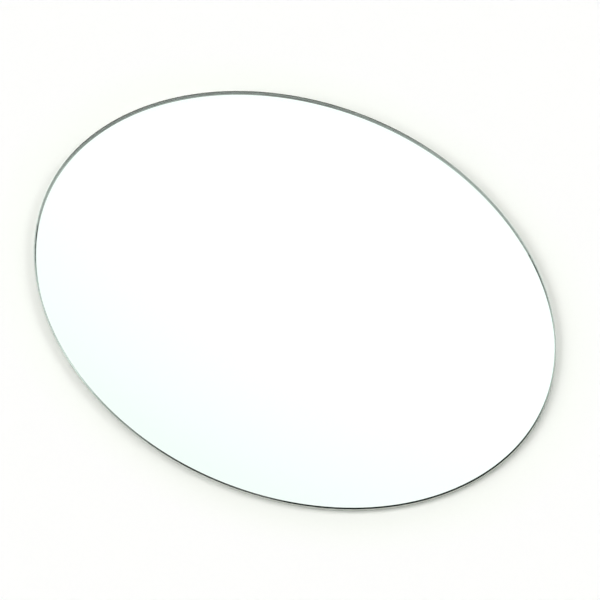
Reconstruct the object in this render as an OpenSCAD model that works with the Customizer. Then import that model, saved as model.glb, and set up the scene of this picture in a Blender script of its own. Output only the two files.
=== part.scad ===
// Oval glass of a car door mirror: one flat piece of silvered glass with ground edges.
// It lies on its back. X runs along the oval, Y across it, and Z up out of the mirror face.

/* [Outline] */
// Length of the oval
length = 160; // [120:1:220]
// Width of the oval
width = 120; // [80:1:160]
// Fullness of the oval between its axes: 2 is an ellipse, more is squarer, less is more pointed
fullness = 1.98; // [1.9:0.01:3]

/* [Glass] */
// Thickness of the glass
thickness = 1.8; // [1.6:0.1:6]
// Width of the arris ground round the mirror face
front_arris = 0.35; // [0.1:0.05:0.7]
// Width of the arris ground round the back
back_arris = 0.3; // [0.1:0.05:0.7]

/* [Hidden] */

// Angle between neighbouring points of the outline
turn = 2;

// Signed power, which keeps the side of the axis that its value lies on
function side_power(value, power) = sign(value) * pow(abs(value), power);

// Point of the outline at an angle, on an oval that is smaller all round by inset
function oval_point(angle, inset) = [
    (length / 2 - inset) * side_power(cos(angle), 2 / fullness),
    (width / 2 - inset) * side_power(sin(angle), 2 / fullness)
];

// Slab of glass between two heights, with its rim set in from the outline
module oval_slab(from, to, inset) {
    translate([0, 0, from])
        linear_extrude(to - from)
            polygon([for (angle = [0 : turn : 360 - turn]) oval_point(angle, inset)]);
}

// The ground wall stands at full size, and each face ends an arris short of it. The oval bulges
// everywhere, so the skin drawn tight round the three slabs closes both arrises at 45 degrees.
module mirror_glass() {
    color([0.86, 0.92, 0.93])
        hull() {
            oval_slab(back_arris, thickness - front_arris, 0);
            oval_slab(0, thickness / 2, back_arris);
            oval_slab(thickness / 2, thickness, front_arris);
        }
}

mirror_glass();
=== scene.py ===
# %% [markdown]
# # Oval door mirror glass
# One flat piece of float glass, silvered on its back, lies face up on a white table. The packed
# model gives its form. The cells below dress it: clear body, silver seen through the body, ground
# edge, polished arris and painted back. Then they light it as the photograph is lit.

import math

import bmesh
import bpy
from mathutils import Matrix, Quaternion, Vector


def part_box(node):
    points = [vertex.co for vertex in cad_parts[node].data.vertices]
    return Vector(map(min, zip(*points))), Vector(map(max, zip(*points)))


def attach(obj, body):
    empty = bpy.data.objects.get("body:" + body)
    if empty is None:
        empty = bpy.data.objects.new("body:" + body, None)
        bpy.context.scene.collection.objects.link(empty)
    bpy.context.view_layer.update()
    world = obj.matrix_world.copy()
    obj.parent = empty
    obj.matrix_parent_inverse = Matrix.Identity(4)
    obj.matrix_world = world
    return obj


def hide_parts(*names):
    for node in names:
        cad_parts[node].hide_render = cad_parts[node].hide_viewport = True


MM = 1000

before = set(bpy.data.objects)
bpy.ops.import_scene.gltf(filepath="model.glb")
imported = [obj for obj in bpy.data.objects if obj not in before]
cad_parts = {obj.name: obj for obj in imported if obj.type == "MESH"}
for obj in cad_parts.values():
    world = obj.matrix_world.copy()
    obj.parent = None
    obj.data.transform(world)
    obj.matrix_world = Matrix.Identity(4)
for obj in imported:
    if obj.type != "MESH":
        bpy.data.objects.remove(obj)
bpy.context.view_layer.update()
plate_low, plate_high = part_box("mirror_glass")
plate_size = plate_high - plate_low
print("glass", [round(MM * side, 2) for side in plate_size], "mm")

# %% [markdown]
# ## Camera
# The picture was taken with a long lens from over a metre away, so the far end of the oval hardly
# narrows. It looks down at 64 degrees and is rolled a little. A camera could be placed by eye. Here
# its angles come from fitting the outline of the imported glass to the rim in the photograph, because
# on so plain a part a rim that is two pixels off is the first thing that shows.

# %% Camera at the photograph's angle
CAMERA_AZIMUTH = 42.05
CAMERA_ELEVATION = 64.0
CAMERA_ROLL = math.radians(-9.4)
CAMERA_DISTANCE = 1.3
CAMERA_TARGET = Vector((0.002171, 0.000399, 0.0))
LENS_MM = 274.64
NEAR_LIMIT = 0.05
FAR_LIMIT = 20.0


def direction(azimuth, elevation):
    """Unit vector from the glass towards a place in the studio. The angles are in degrees."""
    azimuth, elevation = math.radians(azimuth), math.radians(elevation)
    flat = math.cos(elevation)
    return Vector((math.sin(azimuth) * flat, -math.cos(azimuth) * flat, math.sin(elevation)))


camera_data = bpy.data.cameras.new("photo_camera")
camera_data.lens = LENS_MM
camera_data.clip_start = NEAR_LIMIT
camera_data.clip_end = FAR_LIMIT
camera = bpy.data.objects.new("photo_camera", camera_data)
bpy.context.scene.collection.objects.link(camera)
bpy.context.scene.camera = camera
away = direction(CAMERA_AZIMUTH, CAMERA_ELEVATION)
camera.location = CAMERA_TARGET + away * CAMERA_DISTANCE
camera.rotation_mode = "QUATERNION"
camera.rotation_quaternion = (-away).to_track_quat("-Z", "Y") @ Quaternion((0, 0, 1), CAMERA_ROLL)
print("camera at", [round(c, 3) for c in camera.location])

# %% [markdown]
# ## Helpers for the materials
# Every finish starts from a Principled shader whose plain values are set by name. Its detail comes
# from noise on Object coordinates, which stays on the glass when the glass or the camera moves. A
# Mapping node stretches the noise: equal scales give spots, and unequal ones give scratches. Noise
# seldom leaves the middle of its range, so that middle is what a finish swings with.


# %% A material and its plain values
def principled(name, **values):
    """A new material, its node tree and its Principled shader with the given plain values."""
    material = bpy.data.materials.new(name)
    material.use_nodes = True
    shader = material.node_tree.nodes["Principled BSDF"]
    for key, value in values.items():
        shader.inputs[key.replace("_", " ")].default_value = value
    return material, material.node_tree, shader


# %% Marks on a surface
FULL = 1.0
FINE_DETAIL = 3.0


def marks(tree, per_metre, detail=FINE_DETAIL):
    """Noise with so many marks to the metre along X, Y and Z."""
    place = tree.nodes.new("ShaderNodeTexCoord")
    stretch = tree.nodes.new("ShaderNodeMapping")
    stretch.inputs["Scale"].default_value = per_metre
    noise = tree.nodes.new("ShaderNodeTexNoise")
    noise.inputs["Scale"].default_value = FULL
    noise.inputs["Detail"].default_value = detail
    tree.links.new(place.outputs["Object"], stretch.inputs["Vector"])
    tree.links.new(stretch.outputs["Vector"], noise.inputs["Vector"])
    return noise.outputs["Fac"]


# %% What the marks drive
SWING_FROM = 0.3
SWING_TO = 0.7


def ramp(tree, value, start, end, before=0.0, after=FULL, curve="LINEAR"):
    """A level that goes from before to after while a value goes from start to end."""
    spread = tree.nodes.new("ShaderNodeMapRange")
    spread.interpolation_type = curve
    levels = {"From Min": start, "From Max": end, "To Min": before, "To Max": after}
    for name, level in levels.items():
        spread.inputs[name].default_value = level
    tree.links.new(value, spread.inputs["Value"])
    return spread.outputs["Result"]


def vary(tree, value, socket, low, high):
    """Let a socket swing between two levels as a noise swings about its middle."""
    tree.links.new(ramp(tree, value, SWING_FROM, SWING_TO, low, high), socket)


def relief(tree, value, shader, height):
    """Raise the surface by a height, in metres, where a value is high."""
    bump = tree.nodes.new("ShaderNodeBump")
    bump.inputs["Strength"].default_value = FULL
    bump.inputs["Distance"].default_value = height
    tree.links.new(value, bump.inputs["Height"])
    tree.links.new(bump.outputs["Normal"], shader.inputs["Normal"])


# %% Tint of the glass
GLASS_INDEX = 1.52
GLASS_TINT = (0.6, 0.9, 0.8, 1)
TINT_DENSITY = 12.0


def tint_depth(tree):
    """Take a little red out of the light on its way through the glass."""
    absorb = tree.nodes.new("ShaderNodeVolumeAbsorption")
    absorb.inputs["Color"].default_value = GLASS_TINT
    absorb.inputs["Density"].default_value = TINT_DENSITY
    tree.links.new(absorb.outputs["Volume"], tree.nodes["Material Output"].inputs["Volume"])


red_taken = TINT_DENSITY * (FULL - GLASS_TINT[0]) * plate_size.z
print("a ray straight through keeps", round(math.exp(-red_taken), 3), "of its red")

# %% [markdown]
# ## The mirror face
# A door mirror is a second-surface mirror: the face that you touch is bare glass, and the silver is
# behind it. A metal sheet with a glossy coat would be quicker, but it would lose what gives glass
# away, which is the double edge where the rim is seen once directly and once in the silver. So the
# body is real clear glass that bends light. Float glass is never quite flat: long, very low waves
# left by the rollers, and a faint haze where it was wiped, are put in with noise.

# %% Clear float glass
FLOAT_COLOR = (0.97, 1.0, 0.995, 1)
ROLLER_WAVES = (14, 5, 1)
WAVE_DETAIL = 0.0
WAVE_HEIGHT = 0.0000006
WIPE_MARKS = (60, 9, 1)
CLEAN_ROUGHNESS = 0.0
WIPED_ROUGHNESS = 0.008
float_glass, tree, shader = principled(
    "float_glass",
    Base_Color=FLOAT_COLOR,
    IOR=GLASS_INDEX,
    Transmission_Weight=FULL,
)
relief(tree, marks(tree, ROLLER_WAVES, WAVE_DETAIL), shader, WAVE_HEIGHT)
vary(tree, marks(tree, WIPE_MARKS), shader.inputs["Roughness"], CLEAN_ROUGHNESS, WIPED_ROUGHNESS)
tint_depth(tree)
print("face roughness", CLEAN_ROUGHNESS, "to", WIPED_ROUGHNESS)

# %% [markdown]
# ## The arris
# The sharp corner between the face and the edge is taken off with a fine belt, so it won't cut. That
# narrow slope, the arris, is nearly polished. It could share the finish of the face, but then it
# would be as clean as a cut gem. Along the near side it sends the eye down to the silver and out to
# a dark part of the studio, which is the thin dark line in the photograph. So it is glass like the
# face, only a little rough, and greyed by its fine scratches, which run along the rim.

# %% Arris
ARRIS_COLOR = (0.35, 0.425, 0.38, 1)
BELT_MARKS = (260, 260, 9000)
BELT_DEPTH = 0.000002
ARRIS_SMOOTH = 0.04
ARRIS_ROUGH = 0.09
arris_glass, tree, shader = principled(
    "arris_glass",
    Base_Color=ARRIS_COLOR,
    IOR=GLASS_INDEX,
    Transmission_Weight=FULL,
)
belt = marks(tree, BELT_MARKS)
relief(tree, belt, shader, BELT_DEPTH)
vary(tree, belt, shader.inputs["Roughness"], ARRIS_SMOOTH, ARRIS_ROUGH)
tint_depth(tree)
print("arris roughness", ARRIS_SMOOTH, "to", ARRIS_ROUGH)

# %% [markdown]
# ## The ground edge
# The wheel leaves the edge matt: from outside it is a pale grey-green, as crushed glass is. From
# inside, through the face, the same edge looks dark, because most light that comes down to it is
# turned back into the glass. Two shells, one in the other, could have a finish each. One Principled
# shader does both on one shell: Geometry's Backfacing output is 1 for a ray that meets the surface
# from inside, and it moves the shader from chalky to clear. The wheel's marks run round the rim, so
# their noise is far finer along Z than along X and Y. The foot is a darker grey than the rest, which
# is painted shade where the edge meets the table.


# %% Blend two shades
def shade(tree, value, low, high):
    """A colour that goes from one shade to another with a value. A shade may be an output."""
    blend = tree.nodes.new("ShaderNodeMix")
    blend.data_type = "RGBA"
    tree.links.new(value, blend.inputs["Factor"])
    for name, color in (("A", low), ("B", high)):
        socket = next(i for i in blend.inputs if i.name == name and i.type == "RGBA")
        if isinstance(color, tuple):
            socket.default_value = color
        else:
            tree.links.new(color, socket)
    return blend.outputs["Result"]


def mottle(tree, value, shader, low, high):
    """Let the base colour go from one shade to another with a value."""
    tree.links.new(shade(tree, value, low, high), shader.inputs["Base Color"])


# %% Ground edge, seen from outside
EDGE_DARK = (0.56, 0.59, 0.54, 1)
EDGE_LIGHT = (0.68, 0.71, 0.66, 1)
EDGE_SPOTS = (500, 500, 900)
# Painted shade: the foot of the edge, where it meets the table, is coloured a darker grey.
FOOT_SHADE_COLOR = (0.28, 0.30, 0.28, 1)
FOOT_SHADE_TO = 0.0003
FOOT_SHADE_GONE_AT = 0.0005
WHEEL_MARKS = (150, 150, 12000)
WHEEL_DEPTH = 0.000012
ground_edge, tree, shader = principled("ground_edge", IOR=GLASS_INDEX)
spots = shade(tree, marks(tree, EDGE_SPOTS), EDGE_DARK, EDGE_LIGHT)
place = tree.nodes.new("ShaderNodeTexCoord")
split = tree.nodes.new("ShaderNodeSeparateXYZ")
tree.links.new(place.outputs["Object"], split.inputs["Vector"])
# Painted shade at the foot of the edge, fading out upwards into the pale spots.
above_foot_shade = ramp(tree, split.outputs["Z"], FOOT_SHADE_TO, FOOT_SHADE_GONE_AT)
chalky_with_foot_shade = shade(tree, above_foot_shade, FOOT_SHADE_COLOR, spots)
relief(tree, marks(tree, WHEEL_MARKS), shader, WHEEL_DEPTH)
tint_depth(tree)
print("edge grey below", MM * FOOT_SHADE_TO, "mm, pale above", MM * FOOT_SHADE_GONE_AT, "mm")

# %% Ground edge, seen from inside
INSIDE_COLOR = (0.56, 0.69, 0.60, 1)
OUTSIDE_ROUGHNESS = 0.5
INSIDE_ROUGHNESS = 0.22
OUTSIDE_CLEAR = 0.15
INSIDE_CLEAR = 0.9
inside = tree.nodes.new("ShaderNodeNewGeometry").outputs["Backfacing"]
mottle(tree, inside, shader, chalky_with_foot_shade, INSIDE_COLOR)
for socket, before, after in (
    ("Roughness", OUTSIDE_ROUGHNESS, INSIDE_ROUGHNESS),
    ("Transmission Weight", OUTSIDE_CLEAR, INSIDE_CLEAR),
):
    tree.links.new(ramp(tree, inside, 0.0, FULL, before, after), shader.inputs[socket])
print("edge roughness", OUTSIDE_ROUGHNESS, "outside and", INSIDE_ROUGHNESS, "inside")

# %% [markdown]
# ## Silver and back paint
# The silver is a film far thinner than a hair, covered by a coat of grey paint that keeps damp off
# it. One dull metal could stand for both, but it would be too dark in front and too shiny behind.
# The film is a bright metal, with the faint unevenness of a coat that was poured on. The paint was
# rolled on, so it has a low orange-peel relief and a sheen that comes and goes.

# %% Silver
SILVER_COLOR = (0.93, 0.975, 0.975, 1)
POURED_CLOUDS = (30, 30, 30)
SILVER_CLEAR = 0.0
SILVER_HAZE = 0.006
silver, tree, shader = principled("silver", Base_Color=SILVER_COLOR, Metallic=FULL)
vary(tree, marks(tree, POURED_CLOUDS), shader.inputs["Roughness"], SILVER_CLEAR, SILVER_HAZE)
print("silver roughness", SILVER_CLEAR, "to", SILVER_HAZE)

# %% Back paint
PAINT_DARK = (0.26, 0.29, 0.30, 1)
PAINT_LIGHT = (0.33, 0.36, 0.37, 1)
PAINT_CLOUDS = (45, 20, 45)
ORANGE_PEEL = (700, 520, 700)
PEEL_DETAIL = 1.0
PEEL_HEIGHT = 0.00003
PAINT_SHINY = 0.36
PAINT_DULL = 0.55
back_paint, tree, shader = principled("back_paint")
clouds = marks(tree, PAINT_CLOUDS)
mottle(tree, clouds, shader, PAINT_DARK, PAINT_LIGHT)
relief(tree, marks(tree, ORANGE_PEEL, PEEL_DETAIL), shader, PEEL_HEIGHT)
vary(tree, clouds, shader.inputs["Roughness"], PAINT_SHINY, PAINT_DULL)
print("paint roughness", PAINT_SHINY, "to", PAINT_DULL)

# %% [markdown]
# ## The glass body
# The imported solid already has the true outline, wall and arrises, so it is the body. It could be
# built again from a circle, but then it might not match the part. The work is done on a copy, which
# gives up the CAD node's tags and parent, because it is a new piece that gets its own binding later.
# A CAD mesh is loose triangles, so the copy is merged and its flat faces are joined. Each face then
# gets its finish by the way it points: up is the face, down is the painted back, level is the
# ground edge, and sloping is arris.

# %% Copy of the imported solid
FINISHES = (float_glass, back_paint, arris_glass, ground_edge)
glass_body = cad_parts["mirror_glass"].copy()
glass_body.data = glass_body.data.copy()
glass_body.name = glass_body.data.name = "glass_body"
for key in list(glass_body.keys()):
    del glass_body[key]
glass_body.parent = None
bpy.context.scene.collection.objects.link(glass_body)
glass_body.data.materials.clear()
for finish in FINISHES:
    glass_body.data.materials.append(finish)
print("copied", len(glass_body.data.polygons), "triangles")

# %% Merge it and finish its faces
MERGE = 0.000001
FLAT_ANGLE = math.radians(0.05)
SHARP_ANGLE = math.radians(20)
FLAT_ENOUGH = 0.99
SLOPE_FROM = 0.3


def finish_for(face):
    """The place in FINISHES of the finish for a face that points this way."""
    if face.normal.z > FLAT_ENOUGH:
        return FINISHES.index(float_glass)
    if face.normal.z < -FLAT_ENOUGH:
        return FINISHES.index(back_paint)
    if abs(face.normal.z) > SLOPE_FROM:
        return FINISHES.index(arris_glass)
    return FINISHES.index(ground_edge)


mesh = bmesh.new()
mesh.from_mesh(glass_body.data)
bmesh.ops.remove_doubles(mesh, verts=mesh.verts, dist=MERGE)
bmesh.ops.dissolve_limit(mesh, angle_limit=FLAT_ANGLE, verts=mesh.verts, edges=mesh.edges)
for face in mesh.faces:
    face.material_index = finish_for(face)
    face.smooth = abs(face.normal.z) < FLAT_ENOUGH
for edge in mesh.edges:
    edge.smooth = edge.calc_face_angle(0.0) < SHARP_ANGLE
mesh.to_mesh(glass_body.data)
print("glass body", len(mesh.faces), "faces,", len(mesh.verts), "points")
mesh.free()

# %% [markdown]
# ## The silvering
# The film is its own thin sheet just inside the body, so that light passes through the glass, meets
# the silver and comes back. A metal finish on the back face itself would leave that face no paint.
# The sheet starts as a copy of the back face, is lifted off the paint by less than a tenth of a
# millimetre, and gets a thickness of its own so that it is a closed solid.

# %% Silvering
SILVER_LIFT = 0.00006
SILVER_SHEET = 0.00002
mesh = bmesh.new()
mesh.from_mesh(glass_body.data)
others = [face for face in mesh.faces if face.normal.z > -FLAT_ENOUGH]
bmesh.ops.delete(mesh, geom=others, context="FACES")
loose = [point for point in mesh.verts if not point.link_faces]
bmesh.ops.delete(mesh, geom=loose, context="VERTS")
bmesh.ops.translate(mesh, verts=mesh.verts, vec=(0, 0, SILVER_LIFT))
bmesh.ops.solidify(mesh, geom=mesh.faces[:], thickness=-SILVER_SHEET)
bmesh.ops.recalc_face_normals(mesh, faces=mesh.faces)
for face in mesh.faces:
    face.material_index = 0
silvering = bpy.data.objects.new("silvering", bpy.data.meshes.new("silvering"))
mesh.to_mesh(silvering.data)
silvering.data.materials.append(silver)
bpy.context.scene.collection.objects.link(silvering)
heights = [round(MM * point.co.z, 3) for point in mesh.verts]
print("silvering from", min(heights), "to", max(heights), "mm above the table")
mesh.free()

# %% [markdown]
# ## The table
# The photograph has a plain white table whose soft shadows hug the glass. A square plane would do,
# but a disc ends equally far away on all sides. It is large, and hardly below the glass, so that
# no gap shows.

# %% Table top
TABLE_RADIUS = 4.0
TABLE_SIDES = 96
TABLE_GAP = 0.00002
mesh = bmesh.new()
bmesh.ops.create_circle(mesh, cap_ends=True, segments=TABLE_SIDES, radius=TABLE_RADIUS)
bmesh.ops.translate(mesh, verts=mesh.verts, vec=(0, 0, -TABLE_GAP))
table = bpy.data.objects.new("table", bpy.data.meshes.new("table"))
mesh.to_mesh(table.data)
mesh.free()
bpy.context.scene.collection.objects.link(table)
print("table", 2 * TABLE_RADIUS, "m across")

# %% [markdown]
# ## The table's finish
# The table is nearly white. Close to the glass it is faintly green: painted green light, for light
# that has come through the green rim. Further out it is plain white. Two rings of table could have a
# white each, but their joint would show, so the white changes with the distance from the middle,
# measured in the glass's own half length and half width. The finish is only drawn from above: for a
# camera under the table it is clear, and so it is for rays that leave the back of the glass, which
# lets that camera see the painted back by the light from below.

# %% White laminate
# Painted light: the near whites are tinted green for light that comes through the green rim.
PAINTED_GREEN_NEAR_DARK = (0.963, 0.968, 0.953, 1)
PAINTED_GREEN_NEAR_PALE = (0.983, 0.988, 0.973, 1)
FAR_DARK = (0.976, 0.961, 0.990, 1)
FAR_LIGHT = (0.994, 0.979, 0.998, 1)
PAINTED_GREEN_TO = 1.06
PAINTED_GREEN_GONE_FROM = 1.2
TABLE_GRAIN = (900, 900, 900)
TABLE_SATIN = 0.55
TABLE_MATT = 0.68
white_laminate, tree, shader = principled("white_laminate")
grain = marks(tree, TABLE_GRAIN)
place = tree.nodes.new("ShaderNodeTexCoord")
half_sizes = tree.nodes.new("ShaderNodeMapping")
half_sizes.inputs["Scale"].default_value = (1 / plate_high.x, 1 / plate_high.y, 0)
reach = tree.nodes.new("ShaderNodeVectorMath")
reach.operation = "LENGTH"
tree.links.new(place.outputs["Object"], half_sizes.inputs["Vector"])
tree.links.new(half_sizes.outputs["Vector"], reach.inputs[0])
# Painted green light close to the glass, plain white further out.
past_painted_green = ramp(tree, reach.outputs["Value"], PAINTED_GREEN_TO, PAINTED_GREEN_GONE_FROM)
near_painted_green = shade(tree, grain, PAINTED_GREEN_NEAR_DARK, PAINTED_GREEN_NEAR_PALE)
far_white = shade(tree, grain, FAR_DARK, FAR_LIGHT)
mottle(tree, past_painted_green, shader, near_painted_green, far_white)
vary(tree, grain, shader.inputs["Roughness"], TABLE_SATIN, TABLE_MATT)
print("table roughness", TABLE_SATIN, "to", TABLE_MATT)

# %% Clear from below
TOUCHING = 0.0001
below = tree.nodes.new("ShaderNodeNewGeometry")
path = tree.nodes.new("ShaderNodeLightPath")
touching = tree.nodes.new("ShaderNodeMath")
touching.operation = "LESS_THAN"
touching.inputs[1].default_value = TOUCHING
tree.links.new(path.outputs["Ray Length"], touching.inputs[0])
unseen = tree.nodes.new("ShaderNodeMath")
unseen.operation = "MAXIMUM"
tree.links.new(below.outputs["Backfacing"], unseen.inputs[0])
tree.links.new(touching.outputs["Value"], unseen.inputs[1])
clear = tree.nodes.new("ShaderNodeBsdfTransparent")
choice = tree.nodes.new("ShaderNodeMixShader")
tree.links.new(unseen.outputs["Value"], choice.inputs["Fac"])
tree.links.new(shader.outputs["BSDF"], choice.inputs[1])
tree.links.new(clear.outputs["BSDF"], choice.inputs[2])
tree.links.new(choice.outputs["Shader"], tree.nodes["Material Output"].inputs["Surface"])
table.data.materials.append(white_laminate)
print("table clear for rays shorter than", MM * TOUCHING, "mm")

# %% [markdown]
# ## The studio
# Soft boxes could be area lights. Here they are feathered bright patches on the world, because a
# mirror shows every light it faces, and patches let each edge be as soft as wanted. Their places
# were read from the photograph. The shadows round the rim tell where the light comes from: a large
# key box on the left, a fill box on the right with a small one beside it, a weaker box in front on
# the left, and a low glow and a higher lamp behind. The pale face tells that a panel hangs behind
# and above, where the camera's view is mirrored, a little brighter in one place. The dark arris
# tells that the sky is dark under that panel. The horizon is pale, like the table, and a faint
# patch overhead keeps the mirror from turning black when it is seen from straight above.

# %% A sky to paint on
SKY_COLOR = (0.985, 1.0, 0.965, 1)
world = bpy.data.worlds.new("studio")
bpy.context.scene.world = world
world.use_nodes = True
tree = world.node_tree
background = tree.nodes["Background"]
background.inputs["Color"].default_value = SKY_COLOR
sky_place = tree.nodes.new("ShaderNodeTexCoord")
print("sky colour", SKY_COLOR[:3])


# %% Measure and combine directions of the sky
def along(axis):
    """How far a direction of the sky goes along an axis."""
    dot = tree.nodes.new("ShaderNodeVectorMath")
    dot.operation = "DOT_PRODUCT"
    dot.inputs[1].default_value = axis
    tree.links.new(sky_place.outputs["Generated"], dot.inputs[0])
    return dot.outputs["Value"]


def combine(operation, *values):
    """The output of a Math node that is fed by one or two outputs."""
    maths = tree.nodes.new("ShaderNodeMath")
    maths.operation = operation
    for socket, value in zip(maths.inputs, values):
        tree.links.new(value, socket)
    return maths.outputs["Value"]


def fade(value, start, end, before, after):
    """A smooth change of level while a value goes from start to end."""
    return ramp(tree, value, start, end, before, after, curve="SMOOTHSTEP")


# %% Round glows and square soft boxes
def glow(azimuth, elevation, core, edge, middle, rest=0.0):
    """A round patch that fades from the level of its middle to the level of the rest."""
    angle = combine("ARCCOSINE", along(direction(azimuth, elevation)))
    return fade(angle, math.radians(core), math.radians(edge), middle, rest)


def soft_box(azimuth, elevation, half_width, half_height, feather, radiance):
    """A rectangular patch with feathered sides: a fade across it times a fade up it."""
    center = direction(azimuth, elevation)
    sideways = direction(azimuth + 90, 0)
    upwards = direction(azimuth + 180, 90 - elevation)
    sides = []
    for axis, half, level in ((sideways, half_width, radiance), (upwards, half_height, FULL)):
        angle = combine("ABSOLUTE", combine("ARCTAN2", along(axis), along(center)))
        start, end = math.radians(half - feather / 2), math.radians(half + feather / 2)
        sides.append(fade(angle, start, end, level, 0.0))
    return combine("MULTIPLY", *sides)


# %% [markdown]
# A box is written as azimuth, elevation, half width, half height, feather and radiance, and a glow
# as azimuth, elevation, core, edge and radiance. The gap in the panel is a glow turned round: it
# lets nothing through in its middle and all of the panel outside. All but the radiance are degrees.
# A radiance of 1 is white, and patches that overlap add up.

# %% Light the studio
HORIZON_LEVEL = 0.95
SKY_LEVEL = 0.03
HORIZON_FROM = math.radians(4)
HORIZON_TO = math.radians(22)
KEY_BOX = (308.4, 31.1, 23, 16, 8, 4.4)
FILL_BOX = (130.4, 29.4, 19.6, 10.2, 8, 5.75)
FRONT_BOX = (348.3, 27.3, 18, 6.5, 8, 3.6)
SIDE_BOX = (110, 24, 12, 7, 6, 1.3)
BACK_LAMP = (208, 51, 11, 4.5, 7, 3.0)
LOW_GLOW = (208, 19, 6, 17, 5.5)
PANEL = (222, 66, 44, 20, 10, 0.9)
PANEL_GAP = (234, 31, 4, 30, 0.0, FULL)
PANEL_HOT = (212.2, 57, 9, 12.7, 0.23)
CEILING = (42, 88, 6, 12, 0.4)
height = along((0, 0, 1))
low, high = math.sin(HORIZON_FROM), math.sin(HORIZON_TO)
patches = [fade(height, low, high, HORIZON_LEVEL, SKY_LEVEL)]
patches += [soft_box(*box) for box in (KEY_BOX, FILL_BOX, FRONT_BOX, SIDE_BOX, BACK_LAMP)]
patches += [glow(*patch) for patch in (LOW_GLOW, PANEL_HOT, CEILING)]
patches += [combine("MULTIPLY", soft_box(*PANEL), glow(*PANEL_GAP))]
total = patches[0]
for patch in patches[1:]:
    total = combine("ADD", total, patch)
tree.links.new(total, background.inputs["Strength"])
print("sky of", len(patches), "patches,", len(tree.nodes), "nodes")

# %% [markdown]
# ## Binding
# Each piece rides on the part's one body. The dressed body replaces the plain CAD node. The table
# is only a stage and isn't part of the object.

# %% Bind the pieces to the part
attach(glass_body, "root")
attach(silvering, "root")
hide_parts("mirror_glass")
bpy.context.scene.view_settings.view_transform = "Standard"
print("bound", glass_body.name, "and", silvering.name)
